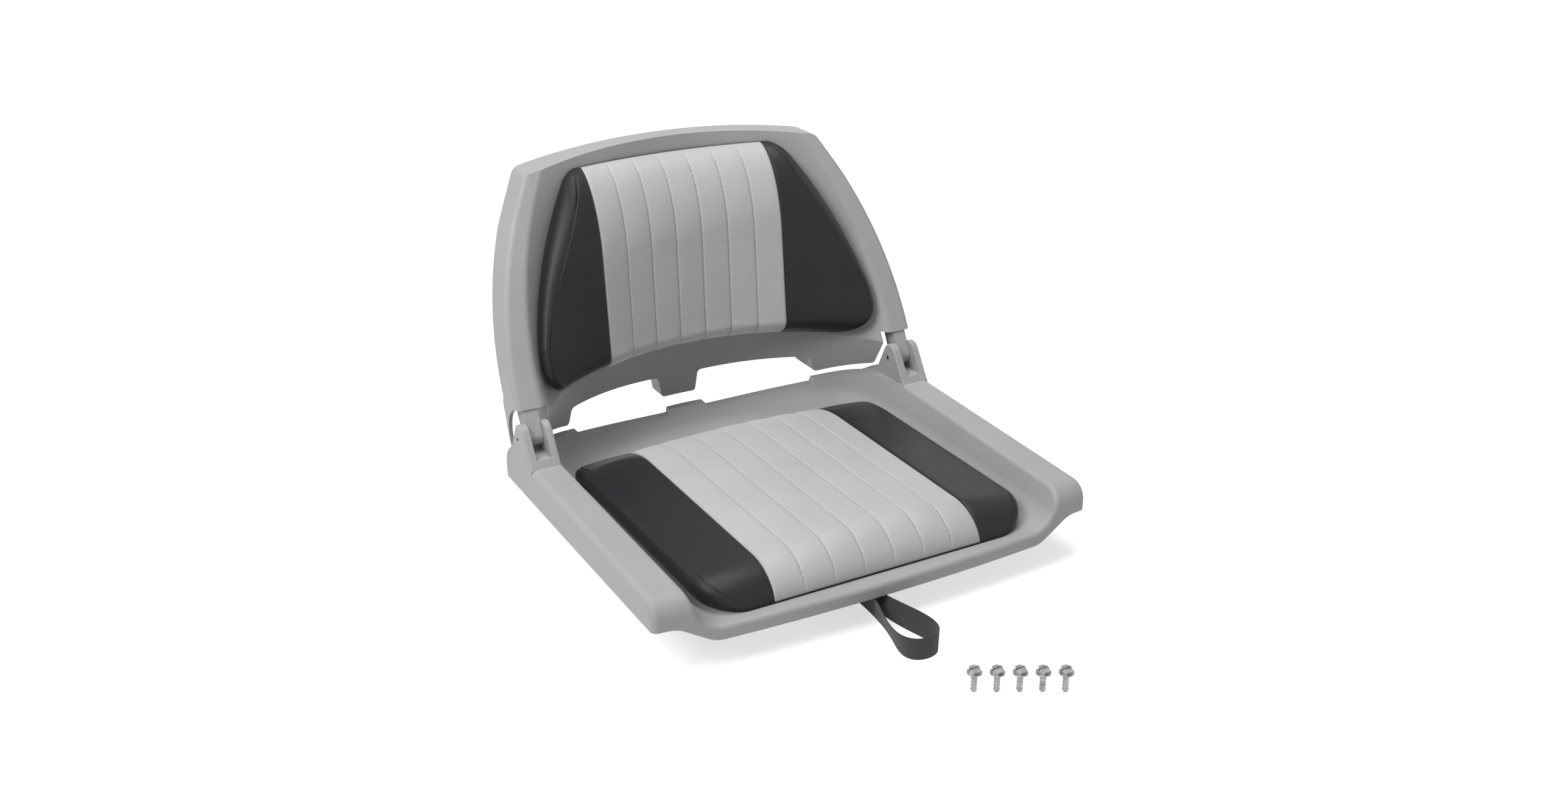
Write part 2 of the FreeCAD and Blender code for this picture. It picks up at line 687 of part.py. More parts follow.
def knuckle():
    """Tongue between the hinge ears, from the pin up into the rail."""
    inner = SLOT_INNER + KNUCKLE_SIDE_GAP
    width = SLOT_OUTER - SLOT_INNER - 2 * KNUCKLE_SIDE_GAP
    across = Vec(math.cos(TILT), -math.sin(TILT), 0)
    up = Vec(math.sin(TILT), math.cos(TILT), 0)
    pin = Vec(HINGE_Y, HINGE_Z, 0)
    length = (RAIL_STEP_Z - HINGE_Z) / math.cos(TILT) + 2 * KNUCKLE_R
    points = [pin - across * KNUCKLE_R, pin + across * KNUCKLE_R]
    points += [points[1] + up * length, points[0] + up * length]
    stem = prism([(p.x, p.y, 0) for p in points], in_side_view(inner), Vec(width, 0, 0))
    round_end = cylinder(KNUCKLE_R, Vec(inner, HINGE_Y, HINGE_Z), Vec(1, 0, 0), width)
    return fused([stem, round_end])


def stop_wedge():
    """The skirt's lower end: a tapering plate behind the ear that stops on the arm's shoulder."""
    rear_rise = math.tan(math.radians(EAR_REAR_DEG))
    tip_z = arm_top(ARM_REAR_Y - ARM_REAR_R) + STOP_GAP
    clear = WEDGE_GAP / math.sin(math.radians(EAR_REAR_DEG))
    at_ear = lambda z: EAR_REAR_Y - (z - arm_top(EAR_REAR_Y)) / rear_rise + clear
    high = RAIL_STEP_Z + WALL
    corners = [
        (at_ear(tip_z), tip_z, 0),
        (at_ear(tip_z) + WEDGE_TIP, tip_z, 0),
        (rail_face(RAIL_STEP_Z) + SKIRT_DEPTH + WALL, RAIL_STEP_Z - WALL, 0),
        (rail_face(high) + SKIRT_DEPTH, high, 0),
        (rail_face(high) + RAIL_OUTER_R, high, 0),
        (rail_face(RAIL_STEP_Z) + RAIL_OUTER_R, RAIL_STEP_Z, 0),
        (at_ear(RAIL_STEP_Z), RAIL_STEP_Z, 0),
    ]
    plate = prism(corners, in_side_view(BACK_HALF - WALL), Vec(WALL, 0, 0))
    sweep = cylinder(WEDGE_SWEEP_R, Vec(0, HINGE_Y, HINGE_Z), Vec(1, 0, 0), FAR)
    return plate.cut(sweep)


def panel_depth(x, z):
    """Depth of the panel's front surface at a point in front view."""
    side, face, middle, radius = back_form(z)
    return middle - radius + math.sqrt(radius ** 2 - x ** 2)


def back_screw_places():
    """Where the cushion screws' heads sit on their bosses."""
    places = []
    for z in (BACK_SCREW_LOW_Z, BACK_SCREW_HIGH_Z):
        for x in (-BACK_SCREW_X, BACK_SCREW_X):
            places.append(Vec(x, panel_depth(x, z) + WALL + PAD_BOSS_DEPTH, z))
    return places


def back_shell():
    outline = back_outline()
    front = in_front_view(-FAR)
    through = Vec(0, 2 * FAR, 0)
    cavity = back_solid(WALL, 4 * WALL).common(prism(inset_corners(outline, WALL), front, through))
    shell = back_solid(0, 0).common(prism(outline, front, through))
    shell = shell.cut(cavity)
    set_back = cavity.copy()
    set_back.translate(Vec(0, BACK_RIB_DEPTH, 0))
    bars = []
    for x in (-BACK_SCREW_X, BACK_SCREW_X):
        bars.append(box(x - RIB / 2, x + RIB / 2, -FAR, FAR, TAB_Z, BACK_TOP_Z))
    for z in (BACK_SCREW_LOW_Z, BACK_SCREW_HIGH_Z):
        bars.append(box(-BACK_HALF, BACK_HALF, -FAR, FAR, z - RIB / 2, z + RIB / 2))
    ribs = fused(bars).common(cavity).cut(set_back)
    bosses = []
    holes = []
    back = Vec(0, -1, 0)
    for place in back_screw_places():
        bosses.append(cylinder(PAD_BOSS_R, place, back, PAD_BOSS_DEPTH + WALL / 2))
        holes.append(cylinder(PAD_SCREW_R + PAD_SCREW_GAP, place + Vec(0, WALL, 0), back, 6 * WALL))
        holes.append(cylinder(PAD_BOSS_R, place, back * -1, 2 * BACK_RIB_DEPTH))
    tongue = knuckle()
    wedge = stop_wedge()
    pieces = [shell, ribs] + bosses
    for piece in (tongue, wedge):
        pieces += [piece, mirrored(piece)]
    body = fused(pieces)
    bore = cylinder(PIN_R + PIN_RUNNING_GAP, Vec(-FAR, HINGE_Y, HINGE_Z), Vec(1, 0, 0), 2 * FAR)
    return body.cut(fused(holes + [bore]))


def hinge_pin():
    """Hollow-ended pin whose rolled ends sit in the mouths of the ears."""
    along = Vec(1, 0, 0)
    start = Vec(ARM_INNER + PIN_MOUTH_DEPTH, HINGE_Y, HINGE_Z)
    length = ARM_WIDTH - 2 * PIN_MOUTH_DEPTH
    left_end = Vec(HALF - PIN_MOUTH_DEPTH, HINGE_Y, HINGE_Z)
    pin = fused([
        cylinder(PIN_R, start, along, length),
        cylinder(PIN_ROLL_R, start, along * -1, PIN_ROLL),
        cylinder(PIN_ROLL_R, left_end, along, PIN_ROLL),
    ])
    hollow = PIN_ROLL + PIN_HOLLOW_DEPTH
    inner_hole = cylinder(PIN_HOLLOW_R, start - along * PIN_ROLL, along, hollow)
    outer_hole = cylinder(PIN_HOLLOW_R, left_end + along * PIN_ROLL, along * -1, hollow)
    return pin.cut(fused([inner_hole, outer_hole]))


def closed(start, *steps):
    """Closed wire: each step is (end,) for a line or (middle, end) for an arc."""
    edges = []
    here = start
    for step in steps + ((start,),):
        if here.distanceToPoint(step[-1]) < 1e-6:
            continue
        if len(step) == 1:
            edges.append(line(here, step[0]))
        else:
            edges.append(arc(here, step[0], step[1]))
        here = step[-1]
    return Part.Wire(edges)


def rolled(length, start_roll, end_roll):
    """Stations along a cushion, close together where its two ends roll over."""
    shares = [1 - math.cos(step * math.pi / 2) for step in ROLL_STEPS]
    front = [start_roll * share for share in shares]
    rear = [length - end_roll * share for share in reversed(shares)]
    step = (length - start_roll - end_roll) / (MIDDLE_STATIONS + 1)
    return front + [start_roll + step * (i + 1) for i in range(MIDDLE_STATIONS)] + rear


def roll(distance, reach):
    """Share of the full size at a distance from an end that rolls over in a quarter ellipse."""
    if distance >= reach:
        return 1.0
    return math.sqrt(1 - (1 - distance / reach) ** 2)


class Slice:
    """One cross section of a cushion: its size, and a height over the base for every width."""

    def __init__(self, half, tuck, bulge, seam, edge, thick, seam_thick, crown, share, place):
        self.half = half
        self.tuck = tuck
        self.bulge = bulge
        self.seam = seam
        self.edge = edge
        self.thick = thick
        self.seam_thick = seam_thick
        self.crown = crown
        self.share = share
        self.place = place

    def top(self, x, depth):
        return self.place(x, self.thick - depth - self.crown * (x / self.edge) ** 2)

    def at_seam(self, side, depth):
        return self.place(side * self.seam, self.seam_thick - depth)

    def at_foot(self, side, depth):
        return self.place(side * (self.half - self.tuck * self.share - depth), 0)

    def beside(self, side, depth):
        """Middle of the arc between the seam and the quilted panel."""
        height = (self.seam_thick + self.thick - self.crown) / 2 + SIDE_SWELL * self.share
        return self.place(side * (self.seam + self.edge) / 2, height - depth)

    def flank(self, side):
        """Middle of the arc down the side band, square to the line from its foot to its seam."""
        foot = self.at_foot(side, 0)
        rise = self.at_seam(side, 0) - foot
        if rise.y == 0:
            aside = Vec(rise.z, 0, -rise.x)
        else:
            aside = Vec(-rise.y, rise.x, 0)
        return foot + rise * 0.5 + aside.normalize() * (side * self.bulge * self.share)

    def centre(self):
        steps = []
        pitch = 2 * self.edge / CHANNELS
        for i in range(CHANNELS):
            middle = self.top(self.edge - pitch * (i + 0.5), -CHANNEL_SAG * self.share)
            steps.append((middle, self.top(self.edge - pitch * (i + 1), 0)))
        steps.append((self.top(-self.edge, COVER * self.share),))
        steps.append((self.top(0, COVER * self.share), self.top(self.edge, COVER * self.share)))
        return closed(self.top(self.edge, 0), *steps)

    def panel(self, side):
        skin = COVER * self.share
        outside = (self.beside(side, 0), self.top(side * self.edge, 0))
        inside = (self.beside(side, skin), self.at_seam(side, skin))
        return closed(self.at_seam(side, 0), outside, (self.top(side * self.edge, skin),), inside)

    def band(self, side):
        skin = COVER * self.share
        outside = (self.flank(side), self.at_seam(side, 0))
        inside = [(self.at_seam(side, skin),), (self.at_foot(side, skin),)]
        return closed(self.at_foot(side, 0), outside, *inside)

    def foam(self):
        skin = COVER * self.share + FOAM_GAP * (2 - self.share)
        base = (BOARD + FOAM_LIFT) * self.share
        seam = self.seam - FOAM_GAP
        seam_high = self.seam_thick - skin
        low = self.half - self.tuck * self.share - skin
        foot = low + (seam - low) * base / seam_high
        across = [(self.place(foot, base),)]
        if self.place(0, 0).y > self.place(foot, 0).y:
            across = [(self.place(0, base), self.place(foot, base))]
        steps = across + [(self.place(seam, seam_high),)]
        steps.append((self.beside(1, skin), self.top(self.edge, skin)))
        steps.append((self.top(0, skin), self.top(-self.edge, skin)))
        steps.append((self.beside(-1, skin), self.place(-seam, seam_high)))
        return closed(self.place(-foot, base), *steps)


def seat_slice(distance):
    """Upright cross section of the seat cushion at a distance behind its front edge."""
    length = SEAT_PAD_REAR_Y - SEAT_PAD_FRONT_Y
    share = min(roll(distance, SEAT_FRONT_ROLL), roll(length - distance, SEAT_REAR_ROLL))
    front_round = SEAT_FRONT_CORNER * (1 - roll(distance, SEAT_FRONT_CORNER))
    rear_round = SEAT_REAR_CORNER * (1 - roll(length - distance, SEAT_REAR_CORNER))
    half = SEAT_PAD_HALF - front_round - rear_round
    thick = SEAT_PAD_HEIGHT * share
    crown = SEAT_CROWN * share
    seam_thick = thick - crown - SEAT_SIDE_FALL * share
    low = TRAY_FLOOR_Z + PAD_GAP
    place = lambda x, height: Vec(x, SEAT_PAD_FRONT_Y + distance, low + height)
    return Slice(half, SEAT_TUCK, SEAT_BAND_SWELL, half - SEAT_SEAM_INSET * share, SEAT_PANEL_HALF, thick, seam_thick, crown, share, place)


def back_slice(distance):
    """Level cross section of the back cushion at a distance above its lower edge."""
    length = BACK_PAD_TOP_Z - BACK_PAD_BOTTOM_Z
    z = BACK_PAD_BOTTOM_Z + distance
    above = max(z - BACK_PAD_WIDEST_Z, 0)
    share = min(roll(distance, BACK_BOTTOM_ROLL), roll(length - distance, BACK_TOP_ROLL))
    low_round = BACK_BOTTOM_CORNER * (1 - roll(distance, BACK_BOTTOM_CORNER))
    top_round = BACK_TOP_CORNER * (1 - roll(length - distance, BACK_TOP_CORNER))
    half = back_side(z) - rail_width(z) - BACK_EDGE_INSET - BACK_EDGE_TAPER * above - low_round - top_round
    seam_inset = (BACK_SEAM_INSET + BACK_SEAM_TAPER * above) * share
    seam = max(half - seam_inset, BACK_PANEL_HALF + BACK_TUCK * share)
    thick = BACK_PAD_THICK * share
    crown = BACK_CROWN * share
    seam_thick = min(BACK_SEAM_THICK + BACK_SEAM_RISE * above, BACK_PAD_THICK - BACK_CROWN) * share
    place = lambda x, height: Vec(x, panel_depth(x, z) - PAD_GAP - height, z)
    return Slice(half, BACK_TUCK, BACK_BAND_SWELL, seam, BACK_PANEL_HALF, thick, seam_thick, crown, share, place)


def cushion(name, slices):
    """Sewn cover in five panels and the foam under it."""
    loft = lambda wires: Part.makeLoft(wires, True, False)
    save(name + "_cover_centre", loft([piece.centre() for piece in slices]))
    for word, side in SIDES:
        save(name + "_cover_" + word, loft([piece.panel(side) for piece in slices]))
        save(name + "_band_" + word, loft([piece.band(side) for piece in slices]))
    save(name + "_foam", loft([piece.foam() for piece in slices]))


def seat_board():
    half = SEAT_PAD_HALF - SEAT_TUCK - COVER - BOARD_INSET
    front = SEAT_PAD_FRONT_Y + SEAT_FRONT_CORNER / 2
    rear = SEAT_PAD_REAR_Y - SEAT_REAR_ROLL / 2
    corners = [(-half, front, BOARD_CORNER_R), (half, front, BOARD_CORNER_R)]
    corners += [(half, rear, BOARD_CORNER_R), (-half, rear, BOARD_CORNER_R)]
    return prism(corners, in_plan(TRAY_FLOOR_Z + PAD_GAP), Vec(0, 0, BOARD))


def back_board():
    """Board bent to the panel, narrower towards the top."""
    wires = []
    low = BACK_PAD_BOTTOM_Z + BACK_BOTTOM_ROLL
    high = BACK_PAD_TOP_Z - BACK_TOP_ROLL / 2
    for i in range(BOARD_STATIONS + 1):
        z = low + (high - low) * i / BOARD_STATIONS
        piece = back_slice(z - BACK_PAD_BOTTOM_Z)
        half = piece.half - BACK_TUCK - COVER - BOARD_INSET
        at = lambda x, height: piece.place(x, height - BOARD_PROUD)
        far_side = (at(0, BOARD), at(-half, BOARD))
        near_side = (at(0, 0), at(half, 0))
        wires.append(closed(at(half, 0), (at(half, BOARD),), far_side, (at(-half, 0),), near_side))
    return Part.makeLoft(wires, True, False)


def pad_screws(places, direction, reach):
    """Round-headed screws from the back of a shell into a cushion board."""
    screws = []
    for place in places:
        head = cylinder(PAD_SCREW_HEAD_R, place, direction * -1, PAD_SCREW_HEAD)
        shank = cylinder(PAD_SCREW_R, place, direction, reach)
        screws.append(fused([head, shank]))
    return screws


def strap():
    """Webbing loop on edge: both ends flank the lug, and the loop opens into a teardrop."""
    sections = []
    root = (WALL + STRAP_THICK) / 2 + STRAP_GAP
    start = STRAP_ROOT_Y + LUG_LENGTH / 2

    def centre(turn):
        swell = STRAP_BULGE * math.sin(turn) ** 6
        return Vec(STRAP_X + (root + swell) * math.cos(turn), start - STRAP_LENGTH * math.sin(turn) ** 2, STRAP_Z)

    for i in range(STRAP_STATIONS):
        turn = math.pi * i / (STRAP_STATIONS - 1)
        small = 0.001
        along = (centre(min(turn + small, math.pi)) - centre(max(turn - small, 0))).normalize()
        lean = math.radians(STRAP_LEAN_DEG) * (math.sin(turn) * math.sin(2 * turn)) ** 4
        outward = Vec(-along.y, along.x, 0)
        width = outward * math.sin(lean) + Vec(0, 0, math.cos(lean))
        face = along.cross(width)
        w = width * (STRAP_WIDTH / 2)
        t = face * (STRAP_THICK / 2)
        here = centre(turn)
        sections.append(Part.makePolygon([here + w + t, here - w + t, here - w - t, here + w - t, here + w + t]))
    return Part.makeLoft(sections, True, True)


def strap_rivet():
    along = Vec(1, 0, 0)
    half = WALL / 2 + STRAP_GAP * 2 + STRAP_THICK + WASHER_THICK
    pieces = [cylinder(RIVET_R, Vec(STRAP_X - half, STRAP_ROOT_Y, STRAP_Z), along, 2 * half)]
    for side in (-1, 1):
        pieces.append(cylinder(RIVET_HEAD_R, Vec(STRAP_X + side * half, STRAP_ROOT_Y, STRAP_Z), along * side, RIVET_HEAD))
    return fused(pieces)


def strap_washers():
    along = Vec(1, 0, 0)
    inside = WALL / 2 + STRAP_GAP * 2 + STRAP_THICK
    washers = []
    for side in (-1, 1):
        start = Vec(STRAP_X + side * inside, STRAP_ROOT_Y, STRAP_Z)
        disc = cylinder(WASHER_R, start, along * side, WASHER_THICK)
        washers.append(disc.cut(cylinder(RIVET_R + RIVET_GAP, start, along * side, WASHER_THICK)))
    return washers


def loose_screw(place):
    """Slotted hex washer-head screw standing on its point."""
    up = Vec(0, 0, 1)
    under = LOOSE_LENGTH
    profile = [Vec(0, 0, 0), Vec(LOOSE_TIP_R, 0, 0)]
    core = LOOSE_SHANK_R - LOOSE_THREAD
    turns = int((under - LOOSE_TIP) / LOOSE_LEAD)
    z = LOOSE_TIP
    profile.append(Vec(core, 0, z))
    for i in range(turns):
        profile.append(Vec(LOOSE_SHANK_R, 0, z + LOOSE_LEAD / 2))
        profile.append(Vec(core, 0, z + LOOSE_LEAD))
        z = z + LOOSE_LEAD
    profile.append(Vec(core, 0, under))
    profile.append(Vec(LOOSE_WASHER_R, 0, under))
    profile.append(Vec(LOOSE_WASHER_R, 0, under + LOOSE_WASHER))
    profile.append(Vec(0, 0, under + LOOSE_WASHER))
    points = [profile[0]]
    for point in profile[1:]:
        if point.distanceToPoint(points[-1]) > 0.01:
            points.append(point)
    body = Part.Face(Part.makePolygon(points + [points[0]])).revolve(Vec(0, 0, 0), up, 360)
    reach = LOOSE_HEX / math.sqrt(3)
    top = under + LOOSE_WASHER
    hexagon = [(reach * math.cos(math.pi * k / 3), reach * math.sin(math.pi * k / 3), 0) for k in range(6)]
    head = prism(hexagon, in_plan(top - LOOSE_WASHER / 2), Vec(0, 0, LOOSE_HEAD + LOOSE_WASHER / 2))
    slot_z = top + LOOSE_HEAD - LOOSE_SLOT_DEPTH
    slot = box(-FAR, FAR, -LOOSE_SLOT / 2, LOOSE_SLOT / 2, slot_z, FAR)
    screw = fused([body, head]).cut(slot)
    screw.translate(place)
    return screw


def loose_screws():
    row = math.radians(LOOSE_ROW_DEG)
    along = Vec(math.cos(row), -math.sin(row), 0)
    first = Vec(LOOSE_X, LOOSE_Y, 0)
    return [loose_screw(first + along * (LOOSE_PITCH * i)) for i in range(LOOSE_COUNT)]


def save(name, shape):
    os.makedirs("parts", exist_ok=True)
    shape.exportStep("parts/" + name + ".step")
    print(name, "solids", len(shape.Solids), "valid", shape.isValid(), "volume", round(shape.Volume))


save("seat_shell", seat_shell())
save("back_shell", back_shell())
save("hinge_pin_left", hinge_pin())
save("hinge_pin_right", mirrored(hinge_pin()))

board = seat_board()
slices = [seat_slice(d) for d in rolled(SEAT_PAD_REAR_Y - SEAT_PAD_FRONT_Y, SEAT_FRONT_ROLL, SEAT_REAR_ROLL)]
reach = WALL + PAD_GAP + PAD_SCREW_BITE
screws = pad_screws(seat_screw_places(), Vec(0, 0, 1), reach)
save("seat_cushion_screws", Part.makeCompound(screws))
save("seat_board", board.cut(fused(screws)))
cushion("seat", slices)

board = back_board()
slices = [back_slice(d) for d in rolled(BACK_PAD_TOP_Z - BACK_PAD_BOTTOM_Z, BACK_BOTTOM_ROLL, BACK_TOP_ROLL)]
reach = PAD_BOSS_DEPTH + WALL + PAD_GAP + PAD_SCREW_BITE
screws = pad_screws(back_screw_places(), Vec(0, -1, 0), reach)
save("back_cushion_screws", Part.makeCompound(screws))
save("back_board", board.cut(fused(screws)))
cushion("back", slices)

rivet = strap_rivet()
save("hold_down_strap", strap().cut(cylinder(RIVET_R + RIVET_GAP, Vec(-FAR, STRAP_ROOT_Y, STRAP_Z), Vec(1, 0, 0), 2 * FAR)))
save("strap_rivet", rivet)
save("strap_washers", Part.makeCompound(strap_washers()))
save("mounting_screws", Part.makeCompound(loose_screws()))
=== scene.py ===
import math

import bpy
import numpy as np
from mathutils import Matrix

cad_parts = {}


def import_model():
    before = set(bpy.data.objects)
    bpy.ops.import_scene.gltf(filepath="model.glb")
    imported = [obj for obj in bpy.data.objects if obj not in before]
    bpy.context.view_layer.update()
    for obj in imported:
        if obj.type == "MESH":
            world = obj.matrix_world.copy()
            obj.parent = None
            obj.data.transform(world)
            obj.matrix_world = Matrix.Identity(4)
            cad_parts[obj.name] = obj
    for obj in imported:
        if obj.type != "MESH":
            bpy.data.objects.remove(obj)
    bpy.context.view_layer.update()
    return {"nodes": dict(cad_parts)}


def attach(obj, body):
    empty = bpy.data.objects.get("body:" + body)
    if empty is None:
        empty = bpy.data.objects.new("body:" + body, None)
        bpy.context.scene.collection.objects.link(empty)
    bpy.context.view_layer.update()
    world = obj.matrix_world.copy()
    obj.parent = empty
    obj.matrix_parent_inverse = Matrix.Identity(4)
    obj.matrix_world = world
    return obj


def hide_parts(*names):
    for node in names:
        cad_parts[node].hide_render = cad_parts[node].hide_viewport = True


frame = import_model()
nodes = frame["nodes"]
scene = bpy.context.scene
scene.view_settings.view_transform = "Standard"
MM = 0.001

# Camera at the photograph's viewing angle
CAMERA_PLACE = (-0.7410, -1.3361, 0.8188)
CAMERA_TURN_DEG = (66.201, 0.0, -29.449)
CAMERA_LENS = 36.65
CAMERA_SENSOR = 36.0

# Floor and surroundings, in metres
FLOOR_HALF = 40.0
FLOOR_DROP = 0.0005
FLOOR_NEAR = 0.9
FLOOR_FAR = 2.4
FLOOR_GLOW = 0.64
FLOOR_COLOUR = (0.8, 0.8, 0.8)
WORLD_LIGHT = 0.18

# Cushions, in millimetres
PAD_GAP = 0.4
QUILT = 2.5
QUILT_GAP = 0.4
CHANNELS = 7
CHANNEL_SAG = 1.5
SIDE_SWELL = 2.0

# Places across a cushion: 0 to 1 is a band, 1 to 2 a side panel, then one for each channel, and mirrored
QUILT_START = 2
QUILT_END = QUILT_START + CHANNELS
ACROSS_END = QUILT_END + 2

# Rows and columns of the fine grid
ROW_STEP = 2.5
ROLL_ROWS = 30
ROLL_START = 0.03
BAND_STEPS = (0.0, 0.12, 0.25, 0.4, 0.55, 0.7, 0.82, 0.9, 0.95, 0.98)
PANEL_STEPS = (1.0, 1.012, 1.026, 1.045, 1.07, 1.11, 1.17, 1.24, 1.32, 1.4,
               1.5, 1.6, 1.7, 1.79, 1.87, 1.93, 1.965, 1.985)
NEAR_SEAM = (0.0, 0.016, 0.034, 0.056, 0.085, 0.13, 0.2, 0.29, 0.39)
CHANNEL_STEPS = NEAR_SEAM + (0.5,) + tuple(1 - step for step in reversed(NEAR_SEAM[1:]))

# Cloth simulation on a coarse grid
PRESSURE = 4.0
SIM_SHARE = 0.3
SIM_FRAMES = 20
SIM_CAP = 5.0
SIM_ROW_STEP = 6.0
SIM_ROLL_ROWS = 12
SIM_BOUNDS = (0, 1, QUILT_START, QUILT_END, QUILT_END + 1, ACROSS_END)
SIM_STEPS = (4, 10, 6 * CHANNELS, 10, 4)
SIM_UNDER = 20
SIM_HELD_SHARE = 0.45

# Sewn lines
GROOVE = 1.1
GROOVE_WIDTH = 1.0
GROOVE_FADE = 1.6
SEAM_GROOVE = 1.3
PUCKER = 0.15
PUCKER_STEP = 11.0
PUCKER_BEAT = 3.3
PUCKER_PHASE = 1.7
PUCKER_ASIDE = 5.0
PUCKER_WIDTH = 4.0
STITCH = 4.2
STITCH_PITCH = 5.6
STITCH_R = 0.42
STITCH_LIFT = 0.1
STITCH_ARCH = 0.8
STITCH_SIDES = 6
STITCH_PROFILE = ((0.0, 0.35), (0.12, 0.85), (0.5, 1.0), (0.88, 0.85), (1.0, 0.35))
STITCH_FROM_SHARE = 0.42
STITCH_END_ROWS = 20

# Seat cushion
SEAT_FRONT_Y = -214.0
SEAT_REAR_Y = 124.0
SEAT_FLOOR_Z = 44.0
SEAT_HALF = 186.0
SEAT_HEIGHT = 38.0
SEAT_EDGE = 117.0
SEAT_SEAM_INSET = 8.0
SEAT_TUCK = 13.0
SEAT_FRONT_ROLL = 45.0
SEAT_REAR_ROLL = 70.0
SEAT_FRONT_CORNER = 44.0
SEAT_REAR_CORNER = 30.0
SEAT_CROWN = 6.0
SEAT_SIDE_FALL = 5.0

# Back cushion and the panel it lies on
BACK_LOW_Z = 133.0
BACK_HIGH_Z = 354.0
BACK_THICK = 49.0
BACK_EDGE = 110.0
BACK_TUCK = 4.0
BACK_LOW_ROLL = 25.0
BACK_HIGH_ROLL = 90.0
BACK_LOW_CORNER = 45.0
BACK_HIGH_CORNER = 12.0
BACK_INSET = 9.0
BACK_FLANK = 2.0
BACK_TAPER = 0.15
BACK_WIDEST_Z = 193.0
BACK_CROWN = 5.0
BACK_SEAM_INSET = 9.0
BACK_SEAM_TAPER = 0.09
BACK_SEAM_THICK = 26.0
BACK_SEAM_RISE = 0.13
HINGE_Y = 104.4
HINGE_Z = 112.0
RAIL_TILT = math.radians(26.85)
RAIL_AHEAD = 11.0
RAIL_LOW_Z = 141.5
RAIL_HIGH_Z = 371.0
RAIL_LOW_WIDTH = 30.0
RAIL_HIGH_WIDTH = 17.0
SIDE_HALF = 243.0
SIDE_R = 388.0
PANEL_Y = 233.2
PANEL_LEAN = math.radians(2.5)

# Strap
STRAP_X = -10.0
STRAP_Y = -179.0
STRAP_Z = 17.0
STRAP_LENGTH = 133.0
STRAP_ROOT = 3.05
STRAP_BULGE = 75.0
STRAP_LEAN = math.radians(45.0)
STRAP_WIDTH = 23.0
STRAP_THICK = 1.6
STRAP_ROWS = 240
STRAP_RIBS = 6
STRAP_RIB_POINTS = 8
STRAP_RIB_HIGH = 0.16
STRAP_EDGE = 0.07
STRAP_EDGE_THIN = 0.35
WEAVE_RIB = 0.0016
WEAVE_PICK = 0.0011


# Materials

class Shader:
    """A Principled material and short ways to add nodes to it."""

    def __init__(self, name, colour, roughness, metallic=0.0, specular=0.5):
        self.material = bpy.data.materials.new(name)
        self.material.use_nodes = True
        self.tree = self.material.node_tree
        self.out = self.tree.nodes["Principled BSDF"]
        self.out.inputs["Base Color"].default_value = (*colour, 1.0)
        self.out.inputs["Roughness"].default_value = roughness
        self.out.inputs["Metallic"].default_value = metallic
        self.out.inputs["Specular IOR Level"].default_value = specular
        self.place = self.tree.nodes.new("ShaderNodeTexCoord").outputs["Object"]

    def node(self, kind, **values):
        made = self.tree.nodes.new(kind)
        for key, value in values.items():
            if key in made.inputs:
                made.inputs[key].default_value = value
            else:
                setattr(made, key, value)
        return made

    def link(self, start, end):
        self.tree.links.new(start, end)

    def noise(self, scale, detail=2.0):
        made = self.node("ShaderNodeTexNoise", Scale=scale, Detail=detail)
        self.link(self.place, made.inputs["Vector"])
        return made.outputs["Fac"]

    def cells(self, scale):
        made = self.node("ShaderNodeTexVoronoi", Scale=scale, feature="SMOOTH_F1")
        self.link(self.place, made.inputs["Vector"])
        return made.outputs["Distance"]

    def math(self, operation, first, second=0.0):
        made = self.node("ShaderNodeMath", operation=operation)
        for place, value in enumerate((first, second)):
            if isinstance(value, (int, float)):
                made.inputs[place].default_value = value
            else:
                self.link(value, made.inputs[place])
        return made.outputs[0]

    def vary_colour(self, source, dark, light, low=0.3, high=0.7):
        ramp = self.node("ShaderNodeValToRGB")
        ramp.color_ramp.elements[0].position = low
        ramp.color_ramp.elements[0].color = (*dark, 1.0)
        ramp.color_ramp.elements[1].position = high
        ramp.color_ramp.elements[1].color = (*light, 1.0)
        self.link(source, ramp.inputs["Fac"])
        self.link(ramp.outputs["Color"], self.out.inputs["Base Color"])

    def vary_roughness(self, source, low, high):
        spread = self.node("ShaderNodeMapRange", **{"To Min": low, "To Max": high})
        self.link(source, spread.inputs["Value"])
        self.link(spread.outputs["Result"], self.out.inputs["Roughness"])

    def bump(self, height, distance, strength=1.0):
        made = self.node("ShaderNodeBump", Distance=distance, Strength=strength)
        self.link(height, made.inputs["Height"])
        self.link(made.outputs["Normal"], self.out.inputs["Normal"])


def grey(value, warm=0.0):
    """Linear colour of an sRGB grey from 0 to 255, a little warmer or cooler."""
    line = []
    for shift in (warm, warm * 0.6, -warm):
        share = (value + shift) / 255.0
        line.append(share / 12.92 if share <= 0.04045 else ((share + 0.055) / 1.055) ** 2.4)
    return tuple(line)


def plastic():
    made = Shader("shell_plastic_finish", grey(173, 1), 0.5, specular=0.3)
    made.vary_colour(made.noise(scale=9.0, detail=3.0), grey(169, 1), grey(176, 1))
    made.vary_roughness(made.noise(scale=60.0), low=0.44, high=0.56)
    fine = made.noise(scale=1300.0, detail=3.0)
    coarse = made.math("MULTIPLY", made.noise(scale=420.0), 0.6)
    made.bump(made.math("ADD", fine, coarse), distance=0.00012, strength=0.55)
    return made.material


def vinyl(name, dark, light, rough_low, rough_high, specular):
    made = Shader(name, dark, rough_low, specular=specular)
    made.vary_colour(made.noise(scale=14.0, detail=3.0), dark, light)
    made.vary_roughness(made.noise(scale=90.0), rough_low, rough_high)
    fine = made.math("MULTIPLY", made.noise(scale=1500.0), 0.5)
    made.bump(made.math("ADD", made.cells(scale=620.0), fine), distance=0.00016, strength=0.5)
    return made.material


